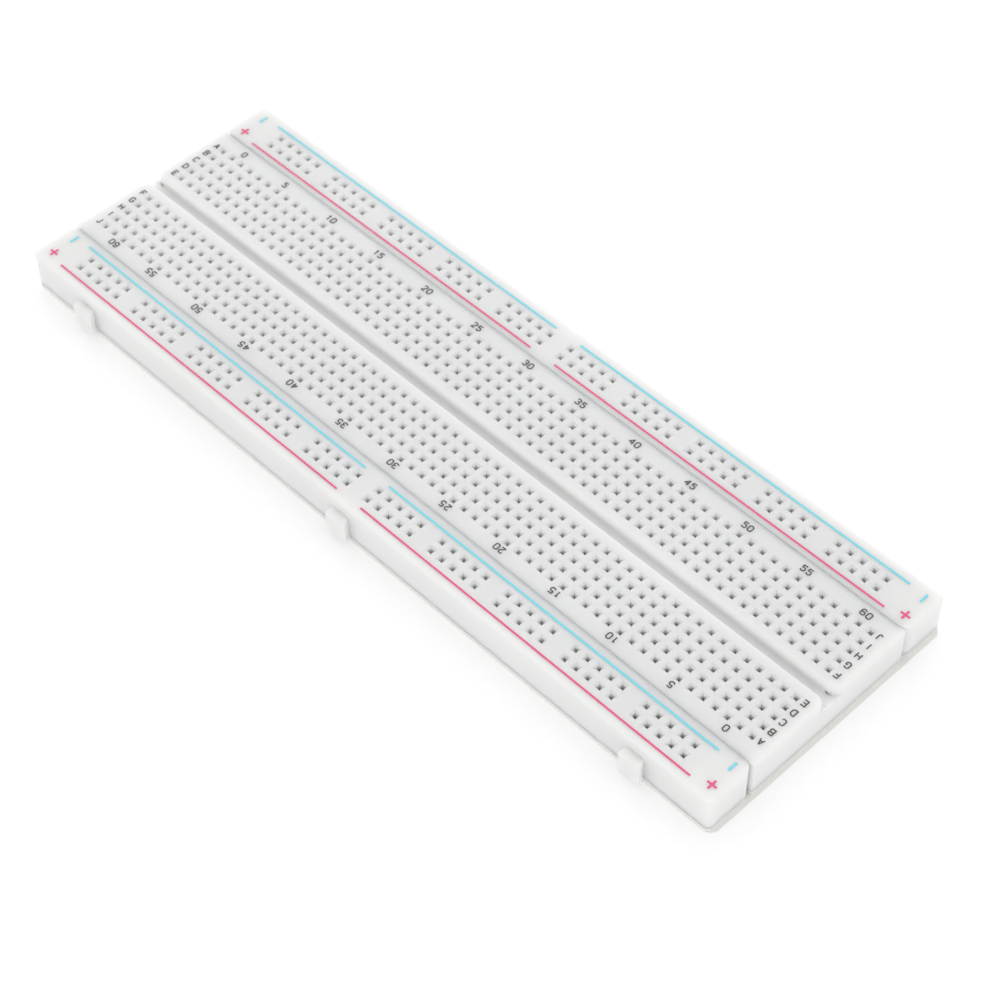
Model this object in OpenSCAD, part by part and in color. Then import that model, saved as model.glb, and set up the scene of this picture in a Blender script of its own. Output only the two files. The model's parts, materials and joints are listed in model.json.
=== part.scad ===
// Solderless breadboard: a terminal strip between two power strips.
// The three housings hook together on dovetails and lift apart.
// Spring clips sit in pockets under the tie points, held in by foam pads,
// and one release liner covers the pads.
// Units are millimetres. X runs along the columns and +Z is up.
// The origin is the middle of the three housings, under the liner.

/* [Tie points] */
// Distance between neighbouring tie points
pitch = 2.54; // [2.5:0.01:2.6]
// Columns in the terminal strip
columns = 63; // [17:1:63]
// Rows on each side of the trough
rows = 5; // [2:1:5]
// Distance between the two rows that flank the trough
inner_row_gap = 7.62; // [7:0.01:8]
// Width of the square bore of a tie point
bore_w = 0.8; // [0.6:0.05:1.1]
// Width of the tapered lead-in at the surface
lead_in_w = 1.6; // [1.4:0.1:1.8]
// Depth of the tapered lead-in
lead_in_depth = 0.35; // [0.3:0.05:0.8]

/* [Housings] */
// Height of the plastic housings
housing_h = 7.5; // [7:0.1:9]
// Thickness of the plastic above the clips
top_wall = 1.6; // [1.2:0.1:2]
// Distance from the last column to the end faces
end_margin = 4; // [3.8:0.1:5]
// Width of the terminal strip
terminal_w = 35.8; // [35.4:0.1:38]
// Width of one power strip
power_w = 9.8; // [9.4:0.1:11]
// Gap between neighbouring housings
seam = 0.04; // [0.04:0.02:0.2]
// Radius of a power strip's upright corners next to the terminal strip
seam_corner_r = 2; // [1:0.1:3]
// Radius of a power strip's upright corners on its outer side
outer_corner_r = 1.2; // [0.4:0.1:3]
// Radius of the upright corners of the terminal strip
terminal_corner_r = 0.5; // [0.4:0.1:1.5]
// Radius along the top of the end faces
end_edge_r = 0.6; // [0.4:0.1:1.5]
// Radius along the top of the two outermost long faces
outer_edge_r = 0.5; // [0.2:0.1:1.5]
// Radius along the top of the faces on either side of a seam
seam_edge_r = 0.1; // [0.1:0.05:0.6]

/* [Trough] */
// Width of the trough between its straight walls
trough_w = 2; // [1.2:0.1:2.2]
// Depth of the trough
trough_depth = 1.8; // [1.7:0.1:4.5]
// Radius of the trough's lips
trough_lip_r = 0.6; // [0.4:0.1:1.1]
// Radius of the trough's bottom corners
trough_floor_r = 0.5; // [0.2:0.1:0.6]
// Radius of the flare at each end of the trough
trough_flare_r = 2.1; // [1.5:0.1:3]

/* [Power rails] */
// Tie points in one group
group_size = 5; // [3:1:6]
// Distance from a seam to the middle of a power strip's two rows
rail_pair_offset = 4.7; // [4.5:0.1:5.2]

/* [Dovetails] */
// Width of a tab where it leaves the housing
tab_root_w = 3.6; // [2.6:0.1:6]
// Width of a tab at its tip
tab_tip_w = 4.6; // [3.6:0.1:8]
// How far a tab stands out
tab_reach = 1.5; // [1.2:0.1:1.6]
// Distance from the tabs to the housing's top
tab_drop = 2.6; // [2:0.1:3.5]
// Radius along the top of a tab
tab_top_r = 1; // [0.4:0.1:1.2]
// Running clearance around a tab in its socket
tab_clearance = 0.08; // [0.05:0.01:0.15]
// Distance between neighbouring tabs, as a share of the length
tab_spacing = 0.407; // [0.3:0.001:0.45]

/* [Clips] */
// Thickness of the spring metal
clip_t = 0.22; // [0.15:0.01:0.3]
// Width of the clip's base
clip_w = 1.7; // [1.5:0.05:1.8]
// Gap between the two legs where they grip
clip_gap = 0.2; // [0.1:0.05:0.4]
// Height of the base from which the fingers rise
finger_root_z = 1.5; // [0.8:0.1:2.5]
// Gap between the fingers of one leg
finger_gap = 0.5; // [0.3:0.05:0.8]
// Width of the pockets that hold the clips
pocket_w = 2; // [1.9:0.05:2.1]
// Space between a clip and the end of its pocket
pocket_space = 0.25; // [0.1:0.05:0.3]
// Space between a clip and the roof of its pocket
clip_headroom = 0.3; // [0.1:0.05:0.6]

/* [Underside] */
// Thickness of the foam pads
foam_h = 0.8; // [0.5:0.1:1.5]
// Clearance around a tab in the notch of a foam pad
foam_clearance = 0.4; // [0.2:0.1:0.8]
// Thickness of the release liner
liner_h = 0.12; // [0.08:0.02:0.3]
// How far the liner stands out past the +X end
liner_overhang = 0.7; // [0:0.1:2]
// How far the liner stops short of the -X end
liner_inset = 1.5; // [0:0.1:2]
// Radius of the liner's corners
liner_corner_r = 2; // [0.5:0.1:5]

/* [Print] */
// Thickness of the printed ink
ink_h = 0.04; // [0.02:0.01:0.1]
// Height of the letters and digits
glyph_h = 1.4; // [1:0.1:1.6]
// Width of the letters and digits
glyph_w = 1.0; // [0.8:0.05:1.1]
// Line width of the letters and digits
glyph_stroke = 0.22; // [0.15:0.01:0.28]
// Space between the two digits of a number
digit_space = 0.2; // [0.1:0.05:0.4]
// Distance from the last column to the row letters
letter_margin = 1.7; // [1.5:0.1:2]
// Distance from the outer row to the column numbers, near half
near_number_margin = 1.85; // [1.8:0.05:2.2]
// Distance from the outer row to the column numbers, far half
far_number_margin = 2.05; // [1.8:0.05:2.2]
// Columns from one number to the next
number_step = 5; // [5:5:10]
// How far the first numbers stand in from their columns
first_number_inset = 1.2; // [0:0.1:2]
// How far the last number stands in from its column, near half
near_last_inset = 2.2; // [0:0.1:3]
// How far the last number stands in from its column, far half
far_last_inset = 0.2; // [0:0.1:3]
// Line width of the stripes
stripe_w = 0.35; // [0.3:0.05:0.8]
// Distance from a red stripe to the middle of the rows
red_stripe_offset = 3.45; // [2.8:0.05:3.6]
// Distance from a blue stripe to the middle of the rows
blue_stripe_offset = 3; // [2.8:0.05:3.6]
// Distance from the outer ends of the stripes to the end faces
stripe_inset = 6; // [5:0.1:8]
// Gap in the middle of each stripe
stripe_gap = 5.8; // [4:0.1:8]
// Size of the plus and minus signs
sign_size = 1.9; // [1:0.1:2.4]
// Distance from the signs to the end faces
sign_inset = 2.6; // [2.2:0.1:3.5]
// Distance from the signs to the middle of the rows
sign_offset = 2.3; // [1.8:0.1:2.6]
// How far the print on the power strips stands off the middle, towards +X
print_shift = 0.3; // [-0.5:0.1:0.5]

/* [Hidden] */
$fn = 48;

// Overshoot of the cutters, and of the tapered ones above the surface.
over = 1;
taper_over = 0.2;

length = (columns - 1) * pitch + 2 * end_margin;
full_w = terminal_w + 2 * power_w;
housing_z = liner_h + foam_h;
top_z = housing_z + housing_h;
pocket_h = housing_h - top_wall;
clip_h = pocket_h - clip_headroom;

column_xs = [for (i = [0 : columns - 1]) (i - (columns - 1) / 2) * pitch];
side_rows = [for (r = [0 : rows - 1]) inner_row_gap / 2 + r * pitch];
outer_row_y = side_rows[rows - 1];

group_columns = group_size + 1;
half_groups = floor((columns - 3) / (2 * group_columns));
first_rail_column = floor((columns - 2 * half_groups * group_columns + 1) / 2);
power_y = (terminal_w + power_w) / 2;
rail_pair_y = terminal_w / 2 + rail_pair_offset;
inner_rail_y = rail_pair_y - pitch / 2;
outer_rail_y = rail_pair_y + pitch / 2;

finger_w = pitch - finger_gap;
clip_len = (rows - 1) * pitch + finger_w;
pocket_len = clip_len + 2 * pocket_space;
side_middle_y = (side_rows[0] + outer_row_y) / 2;

rail_len = (half_groups * group_columns - 2) * pitch + finger_w;

terminal_corner_rs = [terminal_corner_r, terminal_corner_r];
tab_xs = [for (i = [-1 : 1]) i * tab_spacing * length];
tab_h = housing_h - tab_drop;

letter_x = column_xs[columns - 1] + letter_margin;
last_number = columns - 3;

housing_color = [0.93, 0.93, 0.92];
metal_color = [0.75, 0.76, 0.78];
foam_color = [0.88, 0.87, 0.83];
liner_color = [0.95, 0.91, 0.78];
red_ink_color = [0.82, 0.05, 0.16];
blue_ink_color = [0.1, 0.5, 0.8];
black_ink_color = [0.1, 0.1, 0.11];

// Letters and digits as paths on a grid 4 units wide and 6 units high.
// A closed path runs clockwise, which puts its left edge outside.
glyph_grid = [4, 6];
digits = [
  [[[0, 1], [0, 5], [1, 6], [3, 6], [4, 5], [4, 1], [3, 0], [1, 0], [0, 1]]],
  [[[0.8, 4.7], [2.2, 5.8]], [[2.2, 0], [2.2, 6]]],
  [[[0, 5], [1, 6], [3, 6], [4, 5], [4, 4], [0, 0]], [[0, 0], [4, 0]]],
  [
    [[0, 5], [1, 6], [3, 6], [4, 5], [4, 4], [3, 3], [4, 2], [4, 1], [3, 0], [1, 0], [0, 1]],
    [[1.5, 3], [3, 3]]
  ],
  [[[4, 2], [0, 2], [3, 6]], [[3, 0], [3, 6]]],
  [[[4, 6], [0.5, 6], [0.3, 3.4]], [[0.3, 3.6], [3, 3.6], [4, 2.6], [4, 1], [3, 0], [1, 0], [0, 1]]],
  [
    [[0, 1], [0, 3.5], [3, 3.5], [4, 2.5], [4, 1], [3, 0], [1, 0], [0, 1]],
    [[0, 3.5], [0, 5], [1, 6], [3, 6], [4, 5]]
  ]
];
letters = [
  [[[0, 0], [2, 6]], [[4, 0], [2, 6]], [[0.7, 2], [3.3, 2]]],
  [
    [[0, 3.2], [0, 6], [3, 6], [4, 5], [4, 4.2], [3, 3.2], [0, 3.2]],
    [[0, 0], [0, 3.2], [3, 3.2], [4, 2.2], [4, 1], [3, 0], [0, 0]]
  ],
  [[[4, 5], [3, 6], [1, 6], [0, 5], [0, 1], [1, 0], [3, 0], [4, 1]]],
  [[[0, 0], [0, 6], [2.6, 6], [4, 4.6], [4, 1.4], [2.6, 0], [0, 0]]],
  [[[4, 6], [0, 6], [0, 0], [4, 0]], [[0, 3], [3.3, 3]]],
  [[[4, 6], [0, 6], [0, 0]], [[0, 3], [3.3, 3]]],
  [[[4, 5], [3, 6], [1, 6], [0, 5], [0, 1], [1, 0], [3, 0], [4, 1], [4, 2.8], [2.4, 2.8]]],
  [[[0, 0], [0, 6]], [[4, 0], [4, 6]], [[0, 3], [4, 3]]],
  [[[2, 0], [2, 6]]],
  [[[3.4, 6], [3.4, 1], [2.4, 0], [1.4, 0], [0.4, 1]]]
];

terminal_housing();
power_housing(-1);  // near_power_housing
power_housing(1);  // far_power_housing
terminal_clips(-1);  // terminal_clips_near
terminal_clips(1);  // terminal_clips_far
rail_clip(-outer_rail_y, 0);  // near_outer_rail_left
rail_clip(-outer_rail_y, 1);  // near_outer_rail_right
rail_clip(-inner_rail_y, 0);  // near_inner_rail_left
rail_clip(-inner_rail_y, 1);  // near_inner_rail_right
rail_clip(inner_rail_y, 0);  // far_inner_rail_left
rail_clip(inner_rail_y, 1);  // far_inner_rail_right
rail_clip(outer_rail_y, 0);  // far_outer_rail_left
rail_clip(outer_rail_y, 1);  // far_outer_rail_right
foam_pad(0, terminal_w, terminal_corner_rs);  // terminal_foam_pad
foam_pad(-power_y, power_w, power_corner_rs(-1));  // near_power_foam_pad
foam_pad(power_y, power_w, power_corner_rs(1));  // far_power_foam_pad
release_liner();
terminal_legend();
plus_print(-1);  // near_plus_print
minus_print(-1);  // near_minus_print
plus_print(1);  // far_plus_print
minus_print(1);  // far_minus_print

// Columns that carry a contact in one half (0 left, 1 right) of a power rail.
function rail_xs(half) = [
  for (g = [0 : half_groups - 1], k = [0 : group_size - 1])
    column_xs[first_rail_column + (half * half_groups + g) * group_columns + k]
];

// Middle of one half of a power rail.
function rail_middle(half) =
  let (xs = rail_xs(half))
  (xs[0] + xs[len(xs) - 1]) / 2;

// Radii of a power strip's upright corners on its -Y and +Y sides.
function power_corner_rs(side) =
  side > 0 ? [seam_corner_r, outer_corner_r] : [outer_corner_r, seam_corner_r];

// Extrudes a section drawn in Y and Z along X.
module along_x(span) {
  rotate([90, 0, 90])
    linear_extrude(span, center = true)
      children();
}

// Extrudes a section drawn in X and Z along Y.
module along_y(span) {
  rotate([90, 0, 0])
    linear_extrude(span, center = true)
      children();
}

// +Y half of a rectangle, its two corners rounded.
module half_plan(w, d, r) {
  translate([-w / 2, -over])
    square([w, d / 2 - r + over]);
  translate([r - w / 2, -over])
    square([w - 2 * r, d / 2 + over]);
  for (x = [-1, 1])
    translate([x * (w / 2 - r), d / 2 - r])
      circle(r);
}

// Rectangle with round corners; the radii are for its -Y and +Y sides.
module round_rect(w, d, corner_rs) {
  mirror([0, 1])
    half_plan(w, d, corner_rs[0]);
  half_plan(w, d, corner_rs[1]);
}

// Right half of an upright section, its top corner rounded.
module half_section(w, r) {
  translate([-over, 0]) {
    square([w / 2 + over, housing_h - r]);
    square([w / 2 - r + over, housing_h]);
  }
  translate([w / 2 - r, housing_h - r])
    circle(r);
}

// Upright section with its top corners rounded by different radii.
module round_top_section(w, left_r, right_r) {
  mirror([1, 0])
    half_section(w, left_r);
  half_section(w, right_r);
}

// Solid housing with rounded corners and top edges, standing on z = 0.
// Each pair of radii is for its -Y and +Y sides.
module housing_block(w, corner_rs, edge_rs) {
  intersection() {
    linear_extrude(housing_h)
      round_rect(length, w, corner_rs);
    along_x(length)
      round_top_section(w, edge_rs[0], edge_rs[1]);
    along_y(w)
      round_top_section(length, end_edge_r, end_edge_r);
  }
}

// Section of one tie point: a tapered lead-in over a straight bore.
module tie_point_section() {
  slope = (lead_in_w - bore_w) / 2 / lead_in_depth;
  mouth = lead_in_w / 2 + slope * taper_over;
  polygon([
    [-bore_w / 2, pocket_h - over],
    [bore_w / 2, pocket_h - over],
    [bore_w / 2, housing_h - lead_in_depth],
    [mouth, housing_h + taper_over],
    [-mouth, housing_h + taper_over],
    [-bore_w / 2, housing_h - lead_in_depth]
  ]);
}

// Grid of tie points at every crossing of the given columns and rows.
module tie_points(xs, ys) {
  intersection() {
    along_x(length)
      for (y = ys)
        translate([y, 0])
          tie_point_section();
    along_y(terminal_w)
      for (x = xs)
        translate([x, 0])
          tie_point_section();
  }
}

// Box centred in plan, rising from z = -over so that it opens underneath.
module pocket(w, d, h) {
  translate([-w / 2, -d / 2, -over])
    cube([w, d, h + over]);
}

// Plan outline of one dovetail, reaching towards -Y from y = 0.
module dovetail(grow) {
  polygon([
    [-tab_root_w / 2 - grow, over],
    [-tab_root_w / 2 - grow, 0],
    [-tab_tip_w / 2 - grow, -tab_reach - grow],
    [tab_tip_w / 2 + grow, -tab_reach - grow],
    [tab_root_w / 2 + grow, 0],
    [tab_root_w / 2 + grow, over]
  ]);
}

// Tabs on the -Y side of a housing whose side face is at the given y.
module tabs(y) {
  for (x = tab_xs)
    translate([x, y, 0])
      intersection() {
        linear_extrude(tab_h)
          dovetail(0);
        along_x(tab_tip_w) {
          translate([-tab_reach, 0])
            square([tab_reach + over, tab_h - tab_top_r]);
          translate([tab_top_r - tab_reach, 0])
            square([tab_reach - tab_top_r + over, tab_h]);
          translate([tab_top_r - tab_reach, tab_h - tab_top_r])
            circle(tab_top_r);
        }
      }
}

// Sockets for the next housing's tabs, which reach in from the given y.
module sockets(y) {
  for (x = tab_xs)
    translate([x, y, -over])
      linear_extrude(tab_h + tab_clearance + over)
        dovetail(tab_clearance);
}

// Section of the trough, with round lips and round bottom corners.
module trough_section() {
  floor_z = housing_h - trough_depth;
  lip_z = housing_h - trough_lip_r;
  half_w = trough_w / 2;
  translate([-half_w, floor_z + trough_floor_r])
    square([trough_w, trough_depth]);
  translate([trough_floor_r - half_w, floor_z])
    square([trough_w - 2 * trough_floor_r, trough_depth]);
  for (side = [-1, 1])
    translate([side * (half_w - trough_floor_r), floor_z + trough_floor_r])
      circle(trough_floor_r);
  difference() {
    translate([-half_w - trough_lip_r, lip_z])
      square([trough_w + 2 * trough_lip_r, trough_lip_r + over]);
    for (side = [-1, 1])
      translate([side * (half_w + trough_lip_r), lip_z])
        circle(trough_lip_r);
  }
}

// Round post with the lip's radius around its top, which shapes a flare.
module flare_post() {
  rotate_extrude() {
    square([trough_flare_r, housing_h - trough_lip_r]);
    square([trough_flare_r - trough_lip_r, housing_h]);
    translate([trough_flare_r - trough_lip_r, housing_h - trough_lip_r])
      intersection() {
        circle(trough_lip_r);
        square(trough_lip_r);
      }
  }
}

// Quarter flare that widens the +X end of the trough towards +Y.
module trough_flare() {
  difference() {
    translate([0, 0, housing_h - trough_depth])
      cube([trough_flare_r + over, trough_flare_r, trough_depth + over]);
    translate([0, trough_flare_r, 0])
      flare_post();
  }
}

// Trough through the whole length, flared at both ends.
module trough() {
  along_x(length + 2 * over)
    trough_section();
  for (end = [0, 1], side = [0, 1])
    mirror([end, 0, 0])
      mirror([0, side, 0])
        translate([length / 2 - trough_flare_r, trough_w / 2, 0])
          trough_flare();
}

module terminal_housing() {
  w = terminal_w - seam;
  ys = [for (side = [-1, 1], y = side_rows) side * y];
  color(housing_color)
    translate([0, 0, housing_z])
      difference() {
        union() {
          housing_block(w, terminal_corner_rs, [seam_edge_r, seam_edge_r]);
          tabs(-w / 2);
        }
        sockets(w / 2 + seam);
        trough();
        tie_points(column_xs, ys);
        for (x = column_xs, side = [-1, 1])
          translate([x, side * side_middle_y, 0])
            pocket(pocket_w, pocket_len, pocket_h);
      }
}

// Power strip housing; side is -1 for the near one and 1 for the far one.
module power_housing(side) {
  w = power_w - seam;
  edge_rs = side > 0 ? [seam_edge_r, outer_edge_r] : [outer_edge_r, seam_edge_r];
  rail_ys = [side * (inner_rail_y - power_y), side * (outer_rail_y - power_y)];
  color(housing_color)
    translate([0, side * power_y, housing_z])
      difference() {
        union() {
          housing_block(w, power_corner_rs(side), edge_rs);
          tabs(-w / 2);
        }
        sockets(w / 2 + seam);
        tie_points(concat(rail_xs(0), rail_xs(1)), rail_ys);
        for (half = [0, 1], y = rail_ys)
          translate([rail_middle(half), y, 0])
            pocket(rail_len + 2 * pocket_space, pocket_w, pocket_h);
      }
}

// Section of a clip: two legs that rise from a flat base and lean together.
module clip_section() {
  base = clip_w / 2;
  grip = clip_gap / 2;
  lean = atan((base - grip - clip_t) / clip_h);
  leg_t = clip_t / cos(lean);
  inner = base - leg_t - clip_t * tan(lean);
  polygon([
    [-base, 0],
    [base, 0],
    [grip + leg_t, clip_h],
    [grip, clip_h],
    [inner, clip_t],
    [-inner, clip_t],
    [-grip, clip_h],
    [-grip - leg_t, clip_h]
  ]);
}

// Clips of one side of the terminal strip, one per column, a finger pair per row.
module terminal_clips(side) {
  color(metal_color)
    translate([0, side * side_middle_y, housing_z])
      difference() {
        along_y(clip_len)
          for (x = column_xs)
            translate([x, 0])
              clip_section();
        for (r = [0 : rows - 2])
          translate([0, (r + 1 - rows / 2) * pitch, finger_root_z + clip_h / 2])
            cube([length, finger_gap, clip_h], center = true);
      }
}

// One half of a power rail: a long clip with a pair of fingers per contact.
module rail_clip(y, half) {
  xs = rail_xs(half);
  color(metal_color)
    translate([0, y, housing_z])
      difference() {
        translate([rail_middle(half), 0, 0])
          along_x(rail_len)
            clip_section();
        for (i = [0 : len(xs) - 2])
          translate([xs[i] + finger_w / 2, -pocket_w / 2, finger_root_z])
            cube([xs[i + 1] - xs[i] - finger_w, pocket_w, clip_h]);
      }
}

// Foam pad under the housing at the given y, which has its outline.
// Notches let the next housing's tabs lift clear.
module foam_pad(y, housing_w, corner_rs) {
  color(foam_color)
    translate([0, y, liner_h])
      linear_extrude(foam_h)
        difference() {
          round_rect(length, housing_w - seam, corner_rs);
          for (x = tab_xs)
            translate([x, (housing_w + seam) / 2])
              dovetail(foam_clearance);
        }
}

module release_liner() {
  liner_len = length + liner_overhang - liner_inset;
  color(liner_color)
    translate([(liner_overhang + liner_inset) / 2, 0, 0])
      linear_extrude(liner_h)
        round_rect(liner_len, full_w, [liner_corner_r, liner_corner_r]);
}

// Unit vector to the left of the line from a to b.
function left_of(a, b) = [a.y - b.y, b.x - a.x] / norm(b - a);

// Offset from point i of a path to its mitred left-hand edge.
function mitre(path, i, w) =
  let (
    last = len(path) - 1,
    closed = path[0] == path[last],
    before = i > 0 ? path[i - 1] : closed ? path[last - 1] : undef,
    after = i < last ? path[i + 1] : closed ? path[1] : undef,
    n0 = before == undef ? left_of(path[i], after) : left_of(before, path[i]),
    n1 = after == undef ? n0 : left_of(path[i], after)
  )
  (n0 + n1) * w / (2 * (1 + n0 * n1));

// Points of one edge of an inked path; side is 1 for left, -1 for right.
function path_edge(path, side, w) = [
  for (i = [0 : len(path) - 1]) path[i] + side * mitre(path, i, w)
];

// Line of ink along a path, with mitred corners.
module ink_path(path, w) {
  left = path_edge(path, 1, w);
  right = path_edge(path, -1, w);
  last = len(path) - 1;
  if (path[0] == path[last])
    difference() {
      polygon([for (i = [1 : last]) left[i]]);
      polygon([for (i = [1 : last]) right[i]]);
    }
  else
    polygon(concat(left, [for (i = [last : -1 : 0]) right[i]]));
}

// One letter or digit, centred on the origin.
module glyph(paths) {
  span = [glyph_w - glyph_stroke, glyph_h - glyph_stroke];
  for (path = paths)
    ink_path(
      [for (p = path) [(p.x / glyph_grid.x - 0.5) * span.x, (p.y / glyph_grid.y - 0.5) * span.y]],
      glyph_stroke
    );
}

// Column number, one or two digits, centred on the origin.
module column_number(n) {
  advance = glyph_w + digit_space;
  tens = floor(n / 10);
  if (tens > 0)
    translate([-advance / 2, 0])
      glyph(digits[tens]);
  translate([tens > 0 ? advance / 2 : 0, 0])
    glyph(digits[n % 10]);
}

// How far a number stands from its column: the first and last stand in.
function number_shift(n, last_inset) =
  n == 0 ? first_number_inset : n == last_number ? -last_inset : 0;

// Legend of one half: numbers along the outer row, letters at the left end.
module half_legend(margin, last_inset) {
  for (n = [0 : number_step : last_number])
    translate([column_xs[n + 1] + number_shift(n, last_inset), outer_row_y + margin])
      column_number(n);
  for (r = [0 : rows - 1]) {
    translate([-letter_x, side_rows[rows - 1 - r]])
      glyph(letters[r]);
    translate([-letter_x, -side_rows[r]])
      glyph(letters[rows + r]);
  }
}

// Letters and numbers of the far half, and of the near half turned round.
module terminal_legend() {
  color(black_ink_color)
    translate([0, 0, top_z])
      linear_extrude(ink_h) {
        half_legend(far_number_margin, far_last_inset);
        rotate(180)
          half_legend(near_number_margin, near_last_inset);
      }
}

// Stripe in two halves along a power strip, at the given offset from its rows.
module stripe(offset_y) {
  run = (length - stripe_gap) / 2 - stripe_inset;
  for (side = [-1, 1])
    translate([side * (stripe_gap + run) / 2, offset_y])
      square([run, stripe_w], center = true);
}

// Upright bar of a plus or minus sign.
module sign_bar() {
  square([sign_size / 5, sign_size], center = true);
}

// Red print on the -Y side of the rows; strip is -1 for the near one, 1 for the far one.
module plus_print(strip) {
  color(red_ink_color)
    translate([print_shift, strip * rail_pair_y, top_z])
      linear_extrude(ink_h) {
        stripe(-red_stripe_offset);
        for (side = [-1, 1], turn = [0, 90])
          translate([side * (length / 2 - sign_inset), -sign_offset])
            rotate(turn)
              sign_bar();
      }
}

// Blue print on the +Y side of the rows; strip is -1 for the near one, 1 for the far one.
module minus_print(strip) {
  color(blue_ink_color)
    translate([print_shift, strip * rail_pair_y, top_z])
      linear_extrude(ink_h) {
        stripe(blue_stripe_offset);
        for (side = [-1, 1])
          translate([side * (length / 2 - sign_inset), sign_offset])
            sign_bar();
      }
}
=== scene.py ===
"""Studio view of a solderless breadboard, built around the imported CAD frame."""

import json
import math

import bmesh
import bpy
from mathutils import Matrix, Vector, noise

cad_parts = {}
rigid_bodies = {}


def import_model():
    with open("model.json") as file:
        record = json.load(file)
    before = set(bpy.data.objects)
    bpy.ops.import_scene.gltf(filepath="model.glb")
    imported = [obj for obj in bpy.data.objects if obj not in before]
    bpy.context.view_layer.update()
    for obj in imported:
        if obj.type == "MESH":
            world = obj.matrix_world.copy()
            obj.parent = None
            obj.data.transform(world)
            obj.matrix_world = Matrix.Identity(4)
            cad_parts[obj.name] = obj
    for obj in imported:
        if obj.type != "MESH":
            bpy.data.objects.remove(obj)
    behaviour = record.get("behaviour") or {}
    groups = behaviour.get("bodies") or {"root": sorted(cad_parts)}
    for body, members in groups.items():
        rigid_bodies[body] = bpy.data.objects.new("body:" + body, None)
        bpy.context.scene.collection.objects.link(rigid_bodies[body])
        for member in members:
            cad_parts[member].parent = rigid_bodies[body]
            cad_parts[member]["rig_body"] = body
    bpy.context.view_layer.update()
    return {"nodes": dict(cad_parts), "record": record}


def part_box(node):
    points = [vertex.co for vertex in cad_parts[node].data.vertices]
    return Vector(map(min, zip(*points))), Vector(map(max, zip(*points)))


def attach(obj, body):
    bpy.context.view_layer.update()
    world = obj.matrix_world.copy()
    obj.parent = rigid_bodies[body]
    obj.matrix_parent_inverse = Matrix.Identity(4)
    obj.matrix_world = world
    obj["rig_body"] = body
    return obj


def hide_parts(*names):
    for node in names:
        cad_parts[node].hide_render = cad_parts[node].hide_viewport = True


MM = 0.001

# Camera, in the row frame
CAMERA_PLACE_MM = (208.73, -189.57, 326.25)
CAMERA_TURN_DEG = (39.576, 0.708, 45.618)
CAMERA_LENS_MM = 90.12
SENSOR_MM = 36.0
CLIP_START_MM = 10
CLIP_END_MM = 10000
FOCUS_POINT_MM = (70, -15, 8.42)
APERTURE_FSTOP = 64

# Sky and floor
SKY_STRENGTH = 0.93
FLOOR_GLOW = 0.25
FLOOR_DROP_MM = 0.03
FLOOR_SIZE_MM = 4000

# Cut edges of the foam pads and the liner
FOAM_PADS = ("terminal_foam_pad", "near_power_foam_pad", "far_power_foam_pad")
OUTLINE_STEP_MM = 1.2
WOBBLE_SIZE_MM = 2.5
CROWN_POWER = 4

# Reading a CAD solid's underside
WELD_MM = 0.001
FACING_DOWN = -0.9
UPRIGHT = 0.1


def link(obj):
    bpy.context.scene.collection.objects.link(obj)


# ---------------------------------------------------------------- materials


class Shader:
    """Small helper that builds one node material."""

    def __init__(self, name):
        self.material = bpy.data.materials.new(name)
        self.material.use_nodes = True
        self.tree = self.material.node_tree
        self.tree.nodes.clear()
        self.surface = self.node("ShaderNodeBsdfPrincipled")
        output = self.node("ShaderNodeOutputMaterial")
        self.join(self.surface, "BSDF", output, "Surface")
        place = self.node("ShaderNodeTexCoord")
        self.place_mm = self.node("ShaderNodeVectorMath", operation="SCALE")
        self.join(place, "Object", self.place_mm, 0)
        self.place_mm.inputs["Scale"].default_value = 1 / MM

    def node(self, kind, **settings):
        made = self.tree.nodes.new(kind)
        for key, value in settings.items():
            setattr(made, key, value)
        return made

    def join(self, source, output, target, target_input):
        self.tree.links.new(source.outputs[output], target.inputs[target_input])

    def set(self, **values):
        """Sets inputs of the surface; an underscore stands for a space."""
        for key, value in values.items():
            self.surface.inputs[key.replace("_", " ")].default_value = value

    def stretched(self, scale):
        """Object position in millimetres, scaled on each axis."""
        made = self.node("ShaderNodeVectorMath", operation="MULTIPLY")
        self.join(self.place_mm, 0, made, 0)
        made.inputs[1].default_value = scale
        return made

    def noise(self, scale, detail=3.0, roughness=0.5, stretch=None):
        """Noise texture; scale is in features per millimetre."""
        made = self.node("ShaderNodeTexNoise")
        source = self.stretched(stretch) if stretch else self.place_mm
        self.join(source, 0, made, "Vector")
        made.inputs["Scale"].default_value = scale
        made.inputs["Detail"].default_value = detail
        made.inputs["Roughness"].default_value = roughness
        return made

    def cells(self, scale):
        """Cell texture; scale is in cells per millimetre."""
        made = self.node("ShaderNodeTexVoronoi")
        self.join(self.place_mm, 0, made, "Vector")
        made.inputs["Scale"].default_value = scale
        return made

    def ramp(self, source, output, stops):
        """Colour ramp between two (position, colour) stops."""
        made = self.node("ShaderNodeValToRGB")
        for element, (position, colour) in zip(made.color_ramp.elements, stops):
            element.position = position
            element.color = (*colour, 1.0)
        self.join(source, output, made, "Fac")
        return made

    def spread(self, source, output, low, high):
        """Maps a 0 to 1 value to the range low to high."""
        made = self.node("ShaderNodeMapRange")
        self.join(source, output, made, "Value")
        made.inputs["To Min"].default_value = low
        made.inputs["To Max"].default_value = high
        return made

    def bump(self, source, output, depth_mm, over=None):
        """Bump from a height, on top of another normal where one is given."""
        made = self.node("ShaderNodeBump")
        made.inputs["Distance"].default_value = depth_mm * MM
        self.join(source, output, made, "Height")
        if over is not None:
            self.join(over, "Normal", made, "Normal")
        return made


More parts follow.
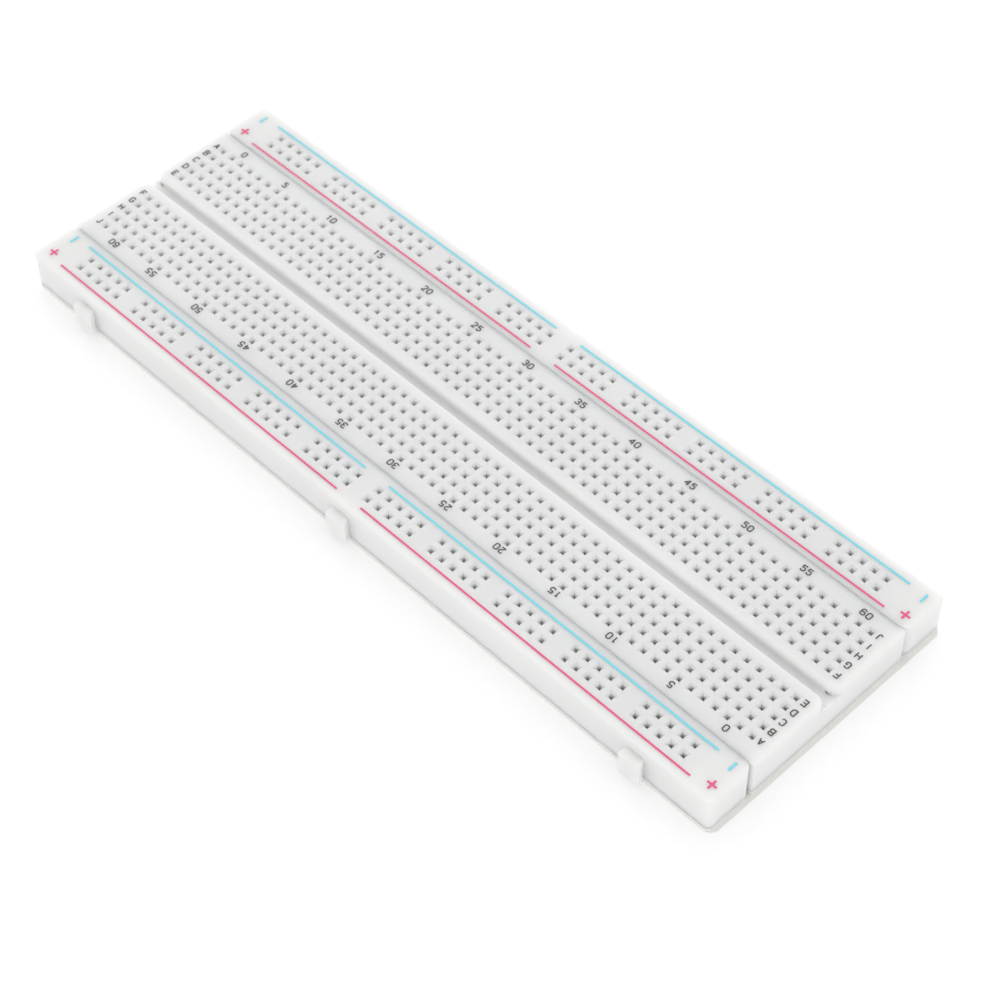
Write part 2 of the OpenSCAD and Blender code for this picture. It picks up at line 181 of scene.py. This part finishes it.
def housing_plastic():
    """White ABS with a fine spark-eroded grain and soft moulded edges."""
    s = Shader("housing_plastic")
    clouds = s.noise(0.035, detail=2.0)
    tint = s.ramp(clouds, "Fac", [(0.3, (0.79, 0.788, 0.782)), (0.7, (0.825, 0.823, 0.817))])
    s.join(tint, "Color", s.surface, "Base Color")
    rough = s.spread(s.noise(1.7), "Fac", 0.36, 0.5)
    s.join(rough, "Result", s.surface, "Roughness")
    edge = s.node("ShaderNodeBevel", samples=4)
    edge.inputs["Radius"].default_value = 0.12 * MM
    grain = s.bump(s.noise(6.0, detail=4.0), "Fac", 0.012, over=edge)
    s.join(grain, "Normal", s.surface, "Normal")
    s.set(IOR=1.52, Subsurface_Weight=1.0)
    s.set(Subsurface_Radius=(1.0, 0.95, 0.9), Subsurface_Scale=3.0 * MM)
    return s.material


def spring_metal():
    """Nickel-plated strip with rolling marks along its length."""
    s = Shader("spring_metal")
    streaks = s.noise(4.0, detail=5.0, stretch=(0.15, 0.15, 2.5))
    tint = s.ramp(streaks, "Fac", [(0.3, (0.50, 0.49, 0.47)), (0.75, (0.72, 0.71, 0.68))])
    s.join(tint, "Color", s.surface, "Base Color")
    rough = s.spread(streaks, "Fac", 0.22, 0.42)
    s.join(rough, "Result", s.surface, "Roughness")
    s.join(s.bump(streaks, "Fac", 0.004), "Normal", s.surface, "Normal")
    s.set(Metallic=1.0)
    return s.material


def foam_rubber():
    """Closed-cell foam: pale, matt, with open cells where it was cut."""
    s = Shader("foam_rubber")
    cells = s.cells(5.5)
    tint = s.ramp(cells, "Distance", [(0.0, (0.83, 0.82, 0.79)), (0.35, (0.90, 0.89, 0.86))])
    s.join(tint, "Color", s.surface, "Base Color")
    s.join(s.bump(cells, "Distance", 0.05), "Normal", s.surface, "Normal")
    rough = s.spread(s.noise(2.0), "Fac", 0.75, 0.95)
    s.join(rough, "Result", s.surface, "Roughness")
    s.set(Subsurface_Weight=0.3)
    s.set(Subsurface_Radius=(1.0, 0.9, 0.75), Subsurface_Scale=0.8 * MM)
    return s.material


def waxed_paper():
    """Release paper: cream, with short fibres under a thin wax coat."""
    s = Shader("waxed_paper")
    fibres = s.noise(2.2, detail=6.0, roughness=0.65, stretch=(1.0, 3.0, 3.0))
    tint = s.ramp(fibres, "Fac", [(0.25, (0.83, 0.82, 0.79)), (0.7, (0.88, 0.87, 0.84))])
    s.join(tint, "Color", s.surface, "Base Color")
    s.join(s.bump(fibres, "Fac", 0.01), "Normal", s.surface, "Normal")
    rough = s.spread(s.noise(0.4), "Fac", 0.35, 0.5)
    s.join(rough, "Result", s.surface, "Roughness")
    s.set(Coat_Weight=0.25, Coat_Roughness=0.2)
    return s.material


def printed_ink(name, thin, full):
    """Pad-printed ink, a little thinner and paler in specks."""
    s = Shader(name)
    specks = s.noise(5.0, detail=4.0, roughness=0.6)
    tint = s.ramp(specks, "Fac", [(0.28, thin), (0.42, full)])
    s.join(tint, "Color", s.surface, "Base Color")
    rough = s.spread(s.noise(2.0), "Fac", 0.42, 0.6)
    s.join(rough, "Result", s.surface, "Roughness")
    s.join(s.bump(specks, "Fac", 0.006), "Normal", s.surface, "Normal")
    return s.material


def floor_paper():
    """Seamless white studio paper, with a faint glow that lifts it to white."""
    s = Shader("floor_paper")
    fibres = s.noise(0.8, detail=5.0)
    tint = s.ramp(fibres, "Fac", [(0.3, (0.79, 0.79, 0.79)), (0.7, (0.81, 0.81, 0.81))])
    s.join(tint, "Color", s.surface, "Base Color")
    s.set(Roughness=0.9, Specular_IOR_Level=0.1)
    s.set(Emission_Color=(1, 1, 1, 1), Emission_Strength=FLOOR_GLOW)
    return s.material


def paint(obj, material):
    if obj.material_slots:
        for slot in obj.material_slots:
            slot.material = material
    else:
        obj.data.materials.append(material)


# ------------------------------------------------------------- soft pieces


def bottom_outline(node):
    """Corners of a CAD solid's underside, counterclockwise, as 2-D vectors."""
    grid = bmesh.new()
    grid.from_mesh(frame["nodes"][node].data)
    bmesh.ops.remove_doubles(grid, verts=grid.verts, dist=WELD_MM * MM)
    rim = []
    for edge in grid.edges:
        ups = sorted(face.normal.z for face in edge.link_faces)
        if len(ups) == 2 and ups[0] < FACING_DOWN and abs(ups[1]) < UPRIGHT:
            rim.append([v.index for v in edge.verts])
    places = {v.index: (v.co.x, v.co.y) for v in grid.verts}
    grid.free()
    chain = list(rim.pop(0))
    while rim:
        pair = next(p for p in rim if chain[-1] in p)
        rim.remove(pair)
        chain.append(pair[0] if pair[1] == chain[-1] else pair[1])
    corners = [Vector(places[i]) for i in chain[:-1]]
    area = sum(a.cross(b) for a, b in zip(corners, corners[1:] + corners[:1]))
    return corners if area > 0 else corners[::-1]


def resample(corners, step):
    """Points along a closed outline, no further apart than step."""
    points = []
    for a, b in zip(corners, corners[1:] + corners[:1]):
        count = max(1, math.ceil((b - a).length / step))
        points += [a.lerp(b, i / count) for i in range(count)]
    return points


def inward(points):
    """Unit vectors that point into a counterclockwise outline."""
    result = []
    for before, after in zip(points[-1:] + points[:-1], points[1:] + points[:1]):
        along = (after - before).normalized()
        result.append(Vector((-along.y, along.x)))
    return result


def edge_rings(sheet, points, low, high, levels, crown_mm, jitter_mm, seed):
    """Rings of vertices up a sheet's edge, pulled in most at the top and bottom."""
    normals = inward(points)
    wobble_size = WOBBLE_SIZE_MM * MM
    rings = []
    for k in range(levels + 1):
        t = k / levels
        z = low + (high - low) * t
        crown = crown_mm * MM * (2 * t - 1) ** CROWN_POWER
        ring = []
        for point, inside in zip(points, normals):
            spot = Vector((point.x / wobble_size, point.y / wobble_size, seed + t))
            depth = crown + jitter_mm * MM * (1 + noise.noise(spot))
            ring.append(sheet.verts.new((*(point + inside * depth), z)))
        rings.append(ring)
    return rings


def cut_sheet(node, name, **edge):
    """Closed sheet with a CAD solid's outline and a slightly uneven cut edge."""
    low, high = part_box(node)
    points = resample(bottom_outline(node), OUTLINE_STEP_MM * MM)
    sheet = bmesh.new()
    rings = edge_rings(sheet, points, low.z, high.z, **edge)
    count = len(points)
    for lower, upper in zip(rings, rings[1:]):
        for i in range(count):
            j = (i + 1) % count
            sheet.faces.new((lower[i], lower[j], upper[j], upper[i]))
    sheet.faces.new(rings[0][::-1])
    sheet.faces.new(rings[-1])
    bmesh.ops.triangulate(sheet, faces=[f for f in sheet.faces if len(f.verts) > 4])
    mesh = bpy.data.meshes.new(name)
    sheet.to_mesh(mesh)
    sheet.free()
    piece = bpy.data.objects.new(name, mesh)
    link(piece)
    return piece


def stand_in(piece, node, slot):
    """Shows a piece in place of a CAD node, on the same body."""
    paint(piece, materials[slot])
    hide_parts(node)
    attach(piece, frame["nodes"][node]["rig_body"])


def foam_pad(node, seed):
    piece = cut_sheet(node, node + "_cut", levels=6, crown_mm=0.08, jitter_mm=0.02, seed=seed)
    stand_in(piece, node, "foam")


def release_liner(seed):
    node = "release_liner"
    piece = cut_sheet(node, node + "_sheet", levels=3, crown_mm=0.01, jitter_mm=0.05, seed=seed)
    stand_in(piece, node, "liner")


# ------------------------------------------------------------------ studio


def studio_floor():
    half = FLOOR_SIZE_MM * MM / 2
    z = -FLOOR_DROP_MM * MM
    corners = [(-half, -half, z), (half, -half, z), (half, half, z), (-half, half, z)]
    mesh = bpy.data.meshes.new("floor")
    mesh.from_pydata(corners, [], [(0, 1, 2, 3)])
    floor = bpy.data.objects.new("floor", mesh)
    link(floor)
    paint(floor, floor_paper())


def sky():
    world = bpy.data.worlds.new("studio")
    bpy.context.scene.world = world
    world.use_nodes = True
    background = world.node_tree.nodes["Background"]
    background.inputs["Color"].default_value = (1, 1, 1, 1)
    background.inputs["Strength"].default_value = SKY_STRENGTH


def softbox(name, place, size, power):
    """Rectangular lamp aimed at the origin; place and size in metres, power in watts."""
    data = bpy.data.lights.new(name, "AREA")
    data.shape = "RECTANGLE"
    data.size, data.size_y = size
    data.energy = power
    lamp = bpy.data.objects.new(name, data)
    lamp.location = place
    lamp.rotation_euler = (-Vector(place)).to_track_quat("-Z", "Y").to_euler()
    link(lamp)


def camera():
    focus = bpy.data.objects.new("focus_point", None)
    focus.location = Vector(FOCUS_POINT_MM) * MM
    link(focus)
    data = bpy.data.cameras.new("camera")
    data.sensor_width = SENSOR_MM
    data.lens = CAMERA_LENS_MM
    data.clip_start = CLIP_START_MM * MM
    data.clip_end = CLIP_END_MM * MM
    data.dof.use_dof = True
    data.dof.focus_object = focus
    data.dof.aperture_fstop = APERTURE_FSTOP
    obj = bpy.data.objects.new("camera", data)
    obj.location = Vector(CAMERA_PLACE_MM) * MM
    obj.rotation_euler = [math.radians(a) for a in CAMERA_TURN_DEG]
    link(obj)
    bpy.context.scene.camera = obj


# -------------------------------------------------------------------- build

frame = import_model()

bpy.context.scene.view_settings.view_transform = "Standard"

# One material for each material slot of the record
materials = {
    "housing": housing_plastic(),
    "spring_metal": spring_metal(),
    "foam": foam_rubber(),
    "liner": waxed_paper(),
    "black_ink": printed_ink("black_ink", (0.20, 0.19, 0.18), (0.08, 0.074, 0.072)),
    "red_ink": printed_ink("red_ink", (0.84, 0.18, 0.33), (0.84, 0.09, 0.24)),
    "blue_ink": printed_ink("blue_ink", (0.26, 0.76, 0.88), (0.16, 0.72, 0.87)),
}
for part in frame["record"]["subparts"]:
    paint(frame["nodes"][part["node"]], materials[part["material_slot"]])

for i, pad in enumerate(FOAM_PADS):
    foam_pad(pad, seed=10.0 * i)
release_liner(seed=40.0)

studio_floor()
sky()
softbox("key", place=(-0.5, 0.6, 1.1), size=(1.2, 1.2), power=1.6)
softbox("rim", place=(-0.9, 0.9, 0.35), size=(1.4, 0.5), power=1.8)
camera()
